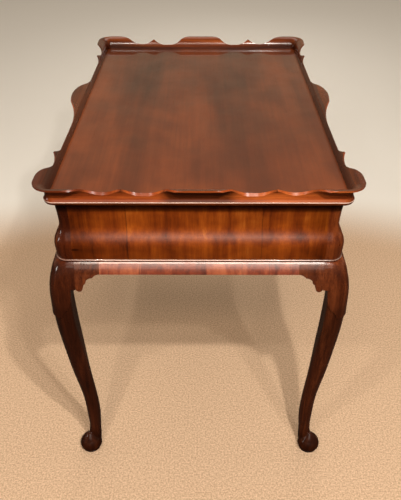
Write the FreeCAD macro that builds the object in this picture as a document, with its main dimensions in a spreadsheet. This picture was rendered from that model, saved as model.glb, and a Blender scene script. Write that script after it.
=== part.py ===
"""Tray top tea table with a scalloped gallery, an ogee frieze and cabriole legs.

Millimetres, +Z up.  X runs across the short ends, Y along the table, and the origin is on
the floor under the middle of the table.  An inset is a distance inwards from the outermost
edge of the gallery, and a level is a height above the floor.
"""
import FreeCAD, Part
import Sketcher
import math
import os
import re

doc = FreeCAD.newDocument("tray_top_tea_table")
sheet = doc.addObject("Spreadsheet::Sheet", "sizes")

SIZES = {
    # the whole table
    "overall_width": 560.0,
    "overall_length": 842.0,
    "overall_height": 715.0,
    # gallery round the tray: a flaring wall, scalloped along its upper edge
    "gallery_height": 26.5,
    "gallery_corner": 33.5,
    "flare_radius": 22.5,
    "gallery_wall": 5.0,
    "gallery_edge": 2.8,
    # scallops, drawn square to the flare: how far from the corner, and how deep
    "corner_lobe": 50.0,
    "corner_dip": 118.0,
    "end_corner_dip_depth": 25.5,
    "side_corner_dip_depth": 21.0,
    "cusp_place": 149.5,
    "cusp_depth": 11.8,
    "cusp_run": 31.5,
    "end_dip_depth": 26.8,
    "side_dip_depth": 23.0,
    "end_lobe_crown": 28.0,
    "end_lobe_foot": 84.0,
    "side_lobe_nose": 2.0,
    "side_lobe_foot": 128.0,
    # tray board and its moulded lip
    "board_thickness": 13.0,
    "lip_inset": 14.3,
    "lip_upper_round": 1.8,
    "lip_under_round": 7.2,
    "field_clearance": 0.15,
    # ogee frieze
    "case_corner": 42.0,
    "ogee_top_inset": 27.0,
    "neck_inset": 31.0,
    "neck_drop": 47.5,
    "bulge_inset": 16.8,
    "bulge_drop": 90.5,
    "ogee_foot_inset": 18.2,
    "frieze_height": 114.5,
    "veneer_thickness": 1.5,
    # frame behind it
    "joint_inset": 52.0,
    "core_back_inset": 52.0,
    "core_face_inset": 22.5,
    "tenon_inset": 37.5,
    "tenon_thickness": 9.0,
    "tenon_tip_gap": 1.0,
    "tenon_clearance": 0.2,
    "frieze_tenon_margin": 14.0,
    "rail_tenon_margin": 3.0,
    # bead and lower rail
    "bead_height": 5.4,
    "bead_inset": 16.3,
    "rail_height": 20.6,
    "rail_top_inset": 17.0,
    "rail_foot_inset": 6.0,
    "rail_round": 40.0,
    # knee
    "knee_swell_drop": 45.0,
    "knee_swell_inset": -2.7,
    "knee_round": 200.0,
    "lappet_drop": 99.0,
    "lappet_inset": -4.9,
    "knee_corner": 26.0,
    "shoulder_drop": 29.0,
    "shoulder_slope": 2.5,
    "lappet_side": 42.0,
    "lappet_waist": 31.0,
    "lappet_waist_rise": 19.0,
    "lappet_point": 18.0,
    "lappet_sweep": 90.0,
    "lappet_tongue": 24.0,
    # knee brackets
    "bracket_reach": 98.0,
    "bracket_arris": 84.0,
    "bracket_arris_drop": 7.0,
    "bracket_shelf": 72.0,
    "bracket_shelf_drop": 12.5,
    "bracket_step": 67.0,
    "bracket_step_drop": 21.0,
    "bracket_lobe": 64.7,
    "bracket_lobe_drop": 30.0,
    "bracket_lobe_middle": 58.2,
    "bracket_drop": 34.7,
    "bracket_notch": 53.2,
    "bracket_notch_drop": 31.8,
    "bracket_outer_cove": 17.5,
    "bracket_inner_cove": 15.8,
    "bracket_nose": 9.0,
    "bracket_lobe_round": 6.6,
    "bracket_notch_round": 7.0,
    # leg, from the knee to the heel
    "thigh_drop": 45.0,
    "thigh_inset": 0.8,
    "thigh_width": 37.5,
    "calf_drop": 106.0,
    "calf_inset": -2.2,
    "calf_width": 41.0,
    "shin_share": 0.645,
    "shin_inset": 3.1,
    "shin_width": 39.5,
    "shin_outer_arris": 20.0,
    "shin_inner_arris": 12.5,
    "lower_shin_share": 0.467,
    "lower_shin_inset": 11.7,
    "lower_shin_width": 35.0,
    "small_share": 0.305,
    "small_inset": 20.8,
    "small_width": 29.9,
    "ankle_level": 92.0,
    "ankle_inset": 22.6,
    "ankle_width": 28.4,
    "instep_level": 45.0,
    "instep_inset": 20.6,
    "instep_width": 27.0,
    "heel_level": 12.0,
    "heel_inset": 17.6,
    "heel_width": 26.6,
    "heel_foot_level": 5.0,
    "heel_foot_inset": 22.0,
    "heel_foot_width": 19.0,
    "outer_arris": 24.0,
    "inner_arris": 7.0,
    "roundness": 0.49,
    # pad foot
    "foot_inset": 22.5,
    "sole_radius": 21.0,
    "sole_height": 3.0,
    "quirk_radius": 20.0,
    "quirk_level": 3.8,
    "pad_radius": 24.8,
    "pad_level": 12.0,
    "pad_shoulder_radius": 17.5,
    "pad_shoulder_level": 31.0,
    "pad_top_radius": 5.0,
    "pad_top_level": 45.5,
    "pad_tip_rise": 1.6,
    "pad_crown": 60.0,
    # bearers, glue blocks and screws under the tray board
    "bearer_width": 60.0,
    "bearer_thickness": 20.0,
    "bearer_spacing": 360.0,
    "bearer_housing": 10.0,
    "housing_clearance": 0.2,
    "screw_spacing": 150.0,
    "screw_shank": 4.5,
    "screw_head": 9.0,
    "screw_head_depth": 2.8,
    "screw_length": 28.0,
    "screw_point": 5.0,
    "screw_clearance": 0.1,
    "block_section": 20.0,
    "block_length": 60.0,
    "block_gap": 19.0,
    "corner_block_reach": 30.0,
    "corner_block_nose": 9.0,
    "corner_block_gap": 12.0,
}

for row, (alias, size) in enumerate(SIZES.items(), start=1):
    sheet.set(f"A{row}", alias)
    sheet.set(f"B{row}", str(size))
    sheet.setAlias(f"B{row}", alias)
doc.recompute()

# Levels that follow from the sizes above, as expressions.
BOARD_TOP = "(overall_height - gallery_height)"
CASE_TOP = f"({BOARD_TOP} - board_thickness)"
NECK = f"({CASE_TOP} - neck_drop)"
BULGE = f"({CASE_TOP} - bulge_drop)"
FRIEZE_FOOT = f"({CASE_TOP} - frieze_height)"
RAIL_TOP = f"({FRIEZE_FOOT} - bead_height)"
RAIL_FOOT = f"({RAIL_TOP} - rail_height)"
KNEE_SWELL = f"({RAIL_FOOT} - knee_swell_drop)"
SHOULDER = f"({RAIL_FOOT} - shoulder_drop)"
LAPPET = f"({RAIL_FOOT} - lappet_drop)"

# The gallery's outer face is one cove, from its free edge round to the board's lip.
COVE_RADIUS = "(flare_radius - gallery_wall)"
COVE_CENTRE = f"(overall_height - gallery_edge - {COVE_RADIUS})"
RIM_TOP = f"({COVE_CENTRE} - sqrt({COVE_RADIUS}^2 - lip_inset^2))"

OVERRUN = 30.0          # how far a cutting outline runs past the piece that it cuts
LAP = 2.0               # how far one solid of a body runs into the next that joins it
FLARE_ANGLE = 45.0      # the gallery leans outwards by this much on the whole


def bound(expression):
    """The expression with every size looked up in the sheet."""
    return re.sub(r"\b(?!sqrt\b)([a-z][a-z_]*[a-z])\b", r"sizes.\1", str(expression))


def value(expression):
    """The expression's number, from the sheet as it stands."""
    return float(sheet.evalExpression(str(expression)))


def arc_radius(run, rise):
    """Radius of an arc that starts along `rise` and has moved `run` to one side by its end."""
    return f"((({run})^2 + ({rise})^2) / (2 * ({run})))"


# --- sketches ------------------------------------------------------------------------------

def new_body(name, several=False):
    body = doc.addObject("PartDesign::Body", name)
    body.Label = name
    body.AllowCompound = several
    return body


def origin_plane(body, role):
    return next(plane for plane in body.Origin.OriginFeatures if plane.Role == role)


def new_sketch(body, role, name, lift="0"):
    """A sketch on one of the body's own origin planes, lifted along the plane's normal."""
    sketch = body.newObject("Sketcher::SketchObject", f"{body.Name}_{name}")
    sketch.AttachmentSupport = [(origin_plane(body, role), "")]
    sketch.MapMode = "FlatFace"
    sketch.setExpression("AttachmentOffset.Base.z", bound(lift))
    return sketch


def pin(sketch, edge, end, corner):
    """Ties one end of an edge to a place given by two expressions."""
    for direction, place in zip(("DistanceX", "DistanceY"), corner):
        row = sketch.addConstraint(
            Sketcher.Constraint(direction, -1, 1, edge, end, value(place)))
        sketch.setExpression(f"Constraints[{row}]", bound(place))


def arc_between(start, finish, radius, turn):
    """The short arc from start to finish, turning left (+1) or right (-1)."""
    chord = finish - start
    radius = max(radius, chord.Length / 2)
    reach = math.sqrt(max(radius ** 2 - chord.Length ** 2 / 4, 0.0))
    left = FreeCAD.Vector(-chord.y, chord.x, 0).normalize()
    centre = (start + finish) / 2 + left * (turn * reach)
    first, last = (start, finish) if turn > 0 else (finish, start)
    angles = [math.atan2(end.y - centre.y, end.x - centre.x) for end in (first, last)]
    circle = Part.Circle(centre, FreeCAD.Vector(0, 0, 1), radius)
    return Part.ArcOfCircle(circle, *angles)


def draw_outline(sketch, corners, bends=None):
    """Closes an outline through the corners.

    bends gives, for the side that leaves a corner, its radius and its turn: +1 where the
    side turns left and -1 where it turns right.  A side without a bend is straight.
    """
    bends = bends or {}
    points = [FreeCAD.Vector(value(across), value(up), 0) for across, up in corners]
    sides = []
    for number, start in enumerate(points):
        finish = points[(number + 1) % len(points)]
        if number in bends:
            radius, turn = bends[number]
            edge = sketch.addGeometry(arc_between(start, finish, value(radius), turn))
            sides.append((edge, 1, 2) if turn > 0 else (edge, 2, 1))
        else:
            edge = sketch.addGeometry(Part.LineSegment(start, finish))
            sides.append((edge, 1, 2))
    for number, (edge, start, finish) in enumerate(sides):
        following, following_start, _ = sides[(number + 1) % len(sides)]
        sketch.addConstraint(
            Sketcher.Constraint("Coincident", edge, finish, following, following_start))
        pin(sketch, edge, start, corners[number])
        if number in bends:
            radius = bends[number][0]
            row = sketch.addConstraint(Sketcher.Constraint("Radius", edge, value(radius)))
            sketch.setExpression(f"Constraints[{row}]", bound(radius))
    return sketch


def draw_axis(sketch, across, low, high):
    """An upright construction line to turn a profile about."""
    ends = [FreeCAD.Vector(value(across), value(up), 0) for up in (low, high)]
    edge = sketch.addGeometry(Part.LineSegment(*ends), True)
    pin(sketch, edge, 1, (across, low))
    pin(sketch, edge, 2, (across, high))


def joined(*lines):
    """One closed outline from open lines, each a pair of corners and bends."""
    corners, bends = [], {}
    for line_corners, line_bends in lines:
        for side, bend in line_bends.items():
            bends[side + len(corners)] = bend
        corners += line_corners
    return corners, bends


def backwards(line):
    """The same open line, walked the other way."""
    corners, bends = line
    last = len(corners) - 2
    turned = {last - side: (radius, -turn) for side, (radius, turn) in bends.items()}
    return corners[::-1], turned


def mirrored(line):
    """The same open line on the other side of the upright axis, walked the other way."""
    corners, bends = backwards(line)
    flipped = [(f"-({across})", up) for across, up in corners]
    return flipped, {side: (radius, -turn) for side, (radius, turn) in bends.items()}


# --- features ------------------------------------------------------------------------------

def pad(body, sketch, length, symmetric=False, reverse=False):
    feature = body.newObject("PartDesign::Pad", f"{sketch.Name}_pad")
    feature.Profile = sketch
    feature.SideType = "Symmetric" if symmetric else "One side"
    feature.Reversed = reverse
    feature.setExpression("Length", bound(length))
    body.Tip = feature
    return feature


def cut(body, sketch, length, symmetric=False, reverse=False):
    """A pocket of the given length."""
    feature = body.newObject("PartDesign::Pocket", f"{sketch.Name}_cut")
    feature.Profile = sketch
    feature.SideType = "Symmetric" if symmetric else "One side"
    feature.Reversed = reverse
    feature.setExpression("Length", bound(length))
    body.Tip = feature
    return feature


def turn(body, sketch, angle, reverse=False):
    """A revolution about the sketch's own construction line."""
    feature = body.newObject("PartDesign::Revolution", f"{sketch.Name}_turn")
    feature.Profile = sketch
    feature.ReferenceAxis = (sketch, ["Axis0"])
    feature.Angle = angle
    feature.Reversed = reverse
    body.Tip = feature
    return feature


def loft(body, sketches):
    feature = body.newObject("PartDesign::AdditiveLoft", f"{sketches[0].Name}_loft")
    feature.Profile = sketches[0]
    feature.Sections = sketches[1:]
    feature.Ruled = False
    body.Tip = feature
    return feature


def place(body, across, along, angle):
    """Stands a finished body at its corner or side of the table."""
    body.Placement = FreeCAD.Placement(
        FreeCAD.Vector(value(across), value(along), 0),
        FreeCAD.Rotation(FreeCAD.Vector(0, 0, 1), angle))
    body.setExpression("Placement.Base.x", bound(across))
    body.setExpression("Placement.Base.y", bound(along))


# The table's four sides, each with its length, where its middle stands and its quarter turn.
# In a side's own frame X runs along it, Y is the inset and Z the level.
SIDES = {
    "front": ("overall_width", "0", "-overall_length / 2", 0),
    "right": ("overall_length", "overall_width / 2", "0", 90),
    "rear": ("overall_width", "0", "overall_length / 2", 180),
    "left": ("overall_length", "-overall_width / 2", "0", 270),
}
# The four corners.  In a corner's own frame X and Y are both insets.
CORNERS = {
    "front_left": ("-overall_width / 2", "-overall_length / 2", 0),
    "front_right": ("overall_width / 2", "-overall_length / 2", 90),
    "rear_right": ("overall_width / 2", "overall_length / 2", 180),
    "rear_left": ("-overall_width / 2", "overall_length / 2", 270),
}

PARTS = []


def finish_side(body, side):
    _, across, along, angle = SIDES[side]
    place(body, across, along, angle)
    PARTS.append(body)


def finish_corner(body, corner):
    place(body, *CORNERS[corner])
    PARTS.append(body)


def mitred_strip(body, side, outline, corner):
    """A moulding along one side, carried round half of each corner to a mitre.

    `corner` is the inset of the centre that the corner bends about.
    """
    length = SIDES[side][0]
    straight = f"({length} - 2 * {corner})"
    middle = new_sketch(body, "YZ_Plane", "section")
    draw_outline(middle, *outline)
    pad(body, middle, straight, symmetric=True)
    for end, sign in (("right_end", ""), ("left_end", "-")):
        section = new_sketch(body, "YZ_Plane", end, f"{sign}{straight} / 2")
        draw_outline(section, *outline)
        draw_axis(section, corner, FRIEZE_FOOT, "overall_height")
        turn(body, section, 45.0, reverse=(sign == "-"))


# --- tray ----------------------------------------------------------------------------------

def draw_tray_plan(sketch, inset):
    """The tray's rectangle with rounded corners, at an inset from the gallery's edge."""
    half_width = f"(overall_width / 2 - {inset})"
    half_length = f"(overall_length / 2 - {inset})"
    bend = f"(gallery_corner - {inset})"
    near_x, near_y = f"({half_width} - {bend})", f"({half_length} - {bend})"
    corners = [
        (f"-{near_x}", f"-{half_length}"), (near_x, f"-{half_length}"),
        (half_width, f"-{near_y}"), (half_width, near_y),
        (near_x, half_length), (f"-{near_x}", half_length),
        (f"-{half_width}", near_y), (f"-{half_width}", f"-{near_y}"),
    ]
    draw_outline(sketch, corners, {side: (bend, +1) for side in (1, 3, 5, 7)})


def make_tray_board():
    """The flat field of the tray, and round it a lower rim that the gallery stands on."""
    body = new_body("tray_board")
    plan = new_sketch(body, "XY_Plane", "plan", CASE_TOP)
    draw_tray_plan(plan, "lip_inset")
    pad(body, plan, f"({RIM_TOP} - {CASE_TOP})")
    doc.recompute()
    for name, pick, radius in (("upper", max, "lip_upper_round"),
                               ("under", min, "lip_under_round")):
        plain = body.Tip
        faces = plain.Shape.Faces
        flat = pick(range(len(faces)), key=lambda number: faces[number].CenterOfMass.z)
        rounding = body.newObject("PartDesign::Fillet", f"tray_board_{name}_round")
        rounding.Base = (plain, [f"Face{flat + 1}"])
        rounding.setExpression("Radius", bound(radius))
        body.Tip = rounding
        doc.recompute()
    field = new_sketch(body, "XY_Plane", "field", BOARD_TOP)
    draw_tray_plan(field, "(flare_radius + field_clearance)")
    pad(body, field, f"({BOARD_TOP} - {RIM_TOP} + {LAP})", reverse=True)
    holes = new_sketch(body, "XY_Plane", "screw_holes", CASE_TOP)
    draw_screw_circles(holes, "(screw_shank / 2 + screw_clearance)")
    cut(body, holes, f"({SCREW_BITE} + screw_clearance)", reverse=True)
    PARTS.append(body)


SCREW_BITE = "(screw_length - bearer_thickness)"
SCREW_PLACES = [(f"({column} * screw_spacing)", f"({row} * bearer_spacing / 2)")
                for row in (-1, 1) for column in (-1, 0, 1)]


def draw_screw_circles(sketch, radius, places=None):
    for across, along in places or SCREW_PLACES:
        centre = FreeCAD.Vector(value(across), value(along), 0)
        ring = sketch.addGeometry(
            Part.Circle(centre, FreeCAD.Vector(0, 0, 1), value(radius)))
        pin(sketch, ring, 3, (across, along))
        row = sketch.addConstraint(Sketcher.Constraint("Radius", ring, value(radius)))
        sketch.setExpression(f"Constraints[{row}]", bound(radius))


def gallery_section():
    """The flaring wall: upright inside where it meets the field, level at its free edge."""
    corners = [
        ("flare_radius", RIM_TOP),
        ("flare_radius", "(overall_height - flare_radius)"),
        ("0", "overall_height"),
        ("0", "(overall_height - gallery_edge)"),
        (COVE_RADIUS, COVE_CENTRE),
        ("lip_inset", RIM_TOP),
    ]
    return corners, {1: ("flare_radius", +1), 3: (COVE_RADIUS, -1), 4: (COVE_RADIUS, -1)}


def middle_lobe(kind):
    """A middle lobe's half flat, its nose, half its height, and the round of its falls."""
    flat = "end_lobe_crown" if kind == "end" else "0"
    nose = "0" if kind == "end" else "side_lobe_nose"
    half_height = f"(({kind}_dip_depth + {nose}) / 2)"
    return flat, nose, half_height, arc_radius(half_height, f"(({kind}_lobe_foot - {flat}) / 2)")


def scallop_line(half_length, kind):
    """The upper edge of half a side, from the middle out: lobe, dip, cusp, dip, corner lobe."""
    dip, corner_dip, foot = f"{kind}_dip_depth", f"{kind}_corner_dip_depth", f"{kind}_lobe_foot"
    flat, nose, half_height, lobe_bend = middle_lobe(kind)
    cusp_at = f"({half_length} - cusp_place)"
    corner_dip_at = f"({half_length} - corner_dip)"
    corner_lobe_at = f"({half_length} - corner_lobe)"
    corners = [
        (flat, nose),
        (f"(({flat} + {foot}) / 2)", f"({nose} - {half_height})"),
        (foot, f"(-{dip})"),
        (f"({cusp_at} - cusp_run)", f"(-{dip})"),
        (cusp_at, "(-cusp_depth)"),
        (corner_dip_at, f"(-{corner_dip})"),
        (f"(({corner_dip_at} + {corner_lobe_at}) / 2)", f"(-{corner_dip} / 2)"),
        (corner_lobe_at, "0"),
    ]
    corner_bend = arc_radius(f"({corner_dip} / 2)", "((corner_dip - corner_lobe) / 2)")
    inner_cusp = arc_radius(f"({dip} - cusp_depth)", "cusp_run")
    outer_cusp = arc_radius(f"({corner_dip} - cusp_depth)", "(cusp_place - corner_dip)")
    bends = {
        0: (lobe_bend, -1), 1: (lobe_bend, +1), 3: (inner_cusp, +1),
        4: (outer_cusp, +1), 5: (corner_bend, +1), 6: (corner_bend, -1),
    }
    return corners, bends


def add_lobe_nose(body):
    """Wood for the long sides' middle lobe, which swells a little past the straight edge."""
    _, nose, _, lobe_bend = middle_lobe("side")
    reach = f"({nose} * sqrt(2))"
    fall = f"({nose} + gallery_edge / sqrt(2))"
    half_chord = f"sqrt({fall} * (2 * {lobe_bend} - {fall}))"
    swell = new_sketch(body, "XY_Plane", "lobe_nose", "overall_height")
    corners = [(f"(-{half_chord})", "0"), (half_chord, "0"),
               (half_chord, f"{LAP}"), (f"(-{half_chord})", f"{LAP}")]
    round_nose = f"(({half_chord}^2 + {reach}^2) / (2 * {reach}))"
    draw_outline(swell, corners, {0: (round_nose, +1)})
    pad(body, swell, "gallery_edge", reverse=True)


def make_gallery(side, kind):
    """One wall of the gallery; its scallops are cut square to the flare."""
    body = new_body(f"gallery_{side}")
    mitred_strip(body, side, gallery_section(), "gallery_corner")
    if kind == "side":
        add_lobe_nose(body)
    half = scallop_line(f"({SIDES[side][0]} / 2)", kind)
    for name, line in (("right", half), ("left", mirrored(half))):
        scallop = new_sketch(body, "XZ_Plane", f"scallop_{name}")
        scallop.AttachmentOffset = FreeCAD.Placement(
            FreeCAD.Vector(), FreeCAD.Rotation(FreeCAD.Vector(1, 0, 0), FLARE_ANGLE))
        scallop.setExpression("AttachmentOffset.Base.y", bound("overall_height"))
        corners, bends = line
        lid = [(corners[-1][0], f"{OVERRUN}"), (corners[0][0], f"{OVERRUN}")]
        draw_outline(scallop, corners + lid, bends)
        cut(body, scallop, f"{2 * OVERRUN} + 4 * flare_radius", symmetric=True)
    finish_side(body, side)


# --- frieze --------------------------------------------------------------------------------

def ogee_line(behind="0"):
    """The frieze's face from top to foot, or the same line that much further in."""
    middle_inset = "((neck_inset + bulge_inset) / 2)"
    middle = f"(({NECK} + {BULGE}) / 2)"
    corners = [
        (f"(ogee_top_inset + {behind})", CASE_TOP),
        (f"(neck_inset + {behind})", NECK),
        (f"({middle_inset} + {behind})", middle),
        (f"(bulge_inset + {behind})", BULGE),
        (f"(ogee_foot_inset + {behind})", FRIEZE_FOOT),
    ]
    cove = arc_radius("(neck_inset - ogee_top_inset)", "neck_drop")
    swell = arc_radius("((neck_inset - bulge_inset) / 2)", "((bulge_drop - neck_drop) / 2)")
    under = arc_radius("(ogee_foot_inset - bulge_inset)", "(frieze_height - bulge_drop)")
    return corners, {0: (cove, -1), 1: (swell, -1), 2: (swell, +1), 3: (under, +1)}


def draw_tenon(sketch, half_length, sign):
    """The plan of one end's mitred tenon, in the side's own frame."""
    shoulder = f"({half_length} - joint_inset)"
    back = "(tenon_inset + tenon_thickness)"
    tip_out = f"({half_length} - tenon_inset - tenon_tip_gap)"
    tip_in = f"({half_length} - {back} - tenon_tip_gap)"
    root = f"({shoulder} - {LAP})"
    corners = [(root, "tenon_inset"), (tip_out, "tenon_inset"), (tip_in, back), (root, back)]
    draw_outline(sketch, [(f"{sign}{across}", inset) for across, inset in corners])


def add_tenons(body, length, foot, height):
    for end, sign in (("right", ""), ("left", "-")):
        tenon = new_sketch(body, "XY_Plane", f"tenon_{end}", foot)
        draw_tenon(tenon, f"({length} / 2)", sign)
        pad(body, tenon, height)


FRIEZE_TENON_FOOT = f"({FRIEZE_FOOT} + frieze_tenon_margin)"
FRIEZE_TENON_HEIGHT = "(frieze_height - 2 * frieze_tenon_margin)"
RAIL_TENON_FOOT = f"({RAIL_FOOT} + rail_tenon_margin)"
RAIL_TENON_HEIGHT = "(rail_height - 2 * rail_tenon_margin)"


def make_frieze_core(side):
    """The softwood board behind the veneer, with its face shaped to the ogee."""
    body = new_body(f"frieze_core_{side}")
    length = SIDES[side][0]
    section = new_sketch(body, "YZ_Plane", "section")
    back = [("core_face_inset", FRIEZE_FOOT), ("core_face_inset", RAIL_TOP),
            ("core_back_inset", RAIL_TOP), ("core_back_inset", CASE_TOP)]
    draw_outline(section, *joined(ogee_line("veneer_thickness"), (back, {})))
    pad(body, section, f"({length} - 2 * joint_inset)", symmetric=True)
    add_tenons(body, length, FRIEZE_TENON_FOOT, FRIEZE_TENON_HEIGHT)
    if side in ("left", "right"):
        housings = new_sketch(body, "XY_Plane", "housings", CASE_TOP)
        depth = "(core_back_inset - bearer_housing - housing_clearance)"
        for row in ("-", ""):
            near = f"({row}bearer_spacing / 2 - bearer_width / 2 - housing_clearance)"
            far = f"({row}bearer_spacing / 2 + bearer_width / 2 + housing_clearance)"
            past = f"(core_back_inset + {OVERRUN})"
            draw_outline(housings, [(near, depth), (far, depth), (far, past), (near, past)])
        cut(body, housings, "(bearer_thickness + housing_clearance)")
    finish_side(body, side)


def make_frieze_veneer(side):
    body = new_body(f"frieze_veneer_{side}")
    section = new_sketch(body, "YZ_Plane", "section")
    draw_outline(section, *joined(ogee_line(), backwards(ogee_line("veneer_thickness"))))
    pad(body, section, f"({SIDES[side][0]} - 2 * joint_inset)", symmetric=True)
    finish_side(body, side)


def make_bead(side):
    """A half-round bead that covers the joint between frieze and rail, mitred at the corners."""
    body = new_body(f"bead_{side}")
    radius = "(bead_height / 2)"
    springing = f"(bead_inset + {radius})"
    corners = [
        ("core_face_inset", FRIEZE_FOOT), (springing, FRIEZE_FOOT),
        ("bead_inset", f"({RAIL_TOP} + {radius})"),
        (springing, RAIL_TOP), ("core_face_inset", RAIL_TOP),
    ]
    mitred_strip(body, side, (corners, {1: (radius, +1), 2: (radius, +1)}), "case_corner")
    finish_side(body, side)


# --- lower rail ----------------------------------------------------------------------------

def make_rail_core(side):
    body = new_body(f"rail_core_{side}")
    length = SIDES[side][0]
    section = new_sketch(body, "YZ_Plane", "section")
    draw_outline(section, [("core_face_inset", RAIL_FOOT), ("core_back_inset", RAIL_FOOT),
                           ("core_back_inset", RAIL_TOP), ("core_face_inset", RAIL_TOP)])
    pad(body, section, f"({length} - 2 * joint_inset)", symmetric=True)
    add_tenons(body, length, RAIL_TENON_FOOT, RAIL_TENON_HEIGHT)
    finish_side(body, side)


def rail_face():
    """The ovolo of the lower rail, from its upper edge down."""
    corners = [("rail_top_inset", RAIL_TOP), ("rail_foot_inset", RAIL_FOOT)]
    return corners, {0: ("rail_round", +1)}


def make_rail_moulding(side):
    """The cross-grained ovolo planted on the rail core between the two brackets."""
    body = new_body(f"rail_moulding_{side}")
    section = new_sketch(body, "YZ_Plane", "section")
    back = [("core_face_inset", RAIL_FOOT), ("core_face_inset", RAIL_TOP)]
    draw_outline(section, *joined(rail_face(), (back, {})))
    pad(body, section, f"({SIDES[side][0]} - 2 * bracket_reach)", symmetric=True)
    finish_side(body, side)


# --- legs ----------------------------------------------------------------------------------

def knee_face():
    """The knee's face in profile, from the rail's upper edge down to the lappet."""
    corners, bends = rail_face()
    below = [("knee_swell_inset", KNEE_SWELL)]
    return corners + below, {**bends, 1: ("knee_round", +1)}


def inset_on_arc(line, side, level):
    """Where one arc of a profile line stands at a level, as an expression."""
    corners, bends = line
    (start_x, start_y), (end_x, end_y) = corners[side], corners[side + 1]
    radius = bends[side][0]
    chord_x, chord_y = f"({end_x} - {start_x})", f"({end_y} - {start_y})"
    chord = f"sqrt({chord_x}^2 + {chord_y}^2)"
    reach = f"(sqrt({radius}^2 - {chord}^2 / 4) / {chord})"
    centre_x = f"(({start_x} + {end_x}) / 2 - {chord_y} * {reach})"
    centre_y = f"(({start_y} + {end_y}) / 2 + {chord_x} * {reach})"
    return f"({centre_x} - sqrt({radius}^2 - ({level} - {centre_y})^2))"


def draw_knee_section(sketch, inset):
    """A square with its outer corner rounded and the other three left sharp."""
    bend = f"({inset} + knee_corner)"
    draw_outline(sketch, [(bend, inset), ("joint_inset", inset), ("joint_inset", "joint_inset"),
                          (inset, "joint_inset"), (inset, bend)], {4: ("knee_corner", +1)})


def draw_shaft_section(sketch, inset, width, outer, inner):
    """A square with all corners rounded, the outer one by more."""
    far = f"({inset} + {width})"
    corners = [
        (f"({inset} + {outer})", inset), (f"({far} - {inner})", inset),
        (far, f"({inset} + {inner})"), (far, f"({far} - {inner})"),
        (f"({far} - {inner})", far), (f"({inset} + {inner})", far),
        (inset, f"({far} - {inner})"), (inset, f"({inset} + {outer})"),
    ]
    bends = {1: (inner, +1), 3: (inner, +1), 5: (inner, +1), 7: (outer, +1)}
    draw_outline(sketch, corners, bends)


def add_stile(body):
    """The leg's upper end: the ogee of the frieze carried round the corner of the case."""
    fill = f"(case_corner - {LAP})"
    face = ogee_line()
    behind = [("core_face_inset", FRIEZE_FOOT), ("core_face_inset", RAIL_TOP),
              (fill, RAIL_TOP), (fill, CASE_TOP)]
    outline = joined(face, (behind, {}))
    length = "(joint_inset - case_corner)"
    along = new_sketch(body, "YZ_Plane", "stile_front", "case_corner")
    draw_outline(along, *outline)
    pad(body, along, length)
    around = new_sketch(body, "YZ_Plane", "stile_corner", "case_corner")
    draw_outline(around, *outline)
    draw_axis(around, "case_corner", RAIL_TOP, CASE_TOP)
    turn(body, around, 90.0, reverse=True)
    across = new_sketch(body, "XZ_Plane", "stile_side", "-case_corner")
    draw_outline(across, *outline)
    pad(body, across, length, reverse=True)
    heart = new_sketch(body, "XY_Plane", "stile_heart", RAIL_TOP)
    inner = f"(case_corner - 2 * {LAP})"
    draw_outline(heart, [(inner, inner), ("joint_inset", inner),
                         ("joint_inset", "joint_inset"), (inner, "joint_inset")])
    pad(body, heart, f"({CASE_TOP} - {RAIL_TOP})")


def add_knee(body):
    """The knee, which swells out below the case and ends in a lappet over the shaft."""
    face = knee_face()
    rail_middle = f"(({RAIL_TOP} + {RAIL_FOOT}) / 2)"
    below_rail = f"({RAIL_FOOT} - knee_swell_drop / 3)"
    levels = [
        (RAIL_TOP, "rail_top_inset"),
        (rail_middle, inset_on_arc(face, 0, rail_middle)),
        (RAIL_FOOT, "rail_foot_inset"),
        (below_rail, inset_on_arc(face, 1, below_rail)),
        (KNEE_SWELL, "knee_swell_inset"),
        (f"(({KNEE_SWELL} + {LAPPET}) / 2)", "((knee_swell_inset + lappet_inset) / 2)"),
        (f"({LAPPET} - {LAP})", "lappet_inset"),
    ]
    sections = []
    for number, (level, inset) in enumerate(levels):
        section = new_sketch(body, "XY_Plane", f"knee_{number}", level)
        draw_knee_section(section, inset)
        sections.append(section)
    loft(body, sections)
    below = f"({LAPPET} - {OVERRUN})"
    corners = [
        (f"(joint_inset + {OVERRUN})", SHOULDER), ("lappet_side", f"({SHOULDER} - shoulder_slope)"),
        ("lappet_waist", f"({LAPPET} + lappet_waist_rise)"), ("lappet_point", LAPPET),
        (f"-{OVERRUN}", LAPPET), (f"-{OVERRUN}", below), (f"(joint_inset + {OVERRUN})", below),
    ]
    bends = {1: ("lappet_sweep", -1), 2: ("lappet_tongue", +1)}
    for name, plane in (("front", "XZ_Plane"), ("side", "YZ_Plane")):
        edge = new_sketch(body, plane, f"lappet_{name}")
        draw_outline(edge, corners, bends)
        cut(body, edge, f"{4 * OVERRUN} + 2 * joint_inset", symmetric=True)


def add_shaft(body):
    """The S-shaped shaft, squarish under the knee and round from the shin down."""
    stations = [
        (f"({SHOULDER} + 2 * {LAP})", f"(thigh_inset + {LAP})", f"(thigh_width - {LAP})",
         "outer_arris", "inner_arris"),
        (f"({RAIL_FOOT} - thigh_drop)", "thigh_inset", "thigh_width",
         "outer_arris", "inner_arris"),
        (f"({RAIL_FOOT} - calf_drop)", "calf_inset", "calf_width",
         "outer_arris", "inner_arris"),
        (f"({RAIL_FOOT} * shin_share)", "shin_inset", "shin_width",
         "shin_outer_arris", "shin_inner_arris"),
    ]
    for name in ("lower_shin", "small", "ankle", "instep", "heel", "heel_foot"):
        level = f"({RAIL_FOOT} * {name}_share)" if f"{name}_share" in SIZES else f"{name}_level"
        round_corner = f"({name}_width * roundness)"
        stations.append((level, f"{name}_inset", f"{name}_width", round_corner, round_corner))
    sections = []
    for number, (level, inset, width, outer, inner) in enumerate(stations):
        section = new_sketch(body, "XY_Plane", f"shaft_{number}", level)
        draw_shaft_section(section, inset, width, outer, inner)
        sections.append(section)
    loft(body, sections)


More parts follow.
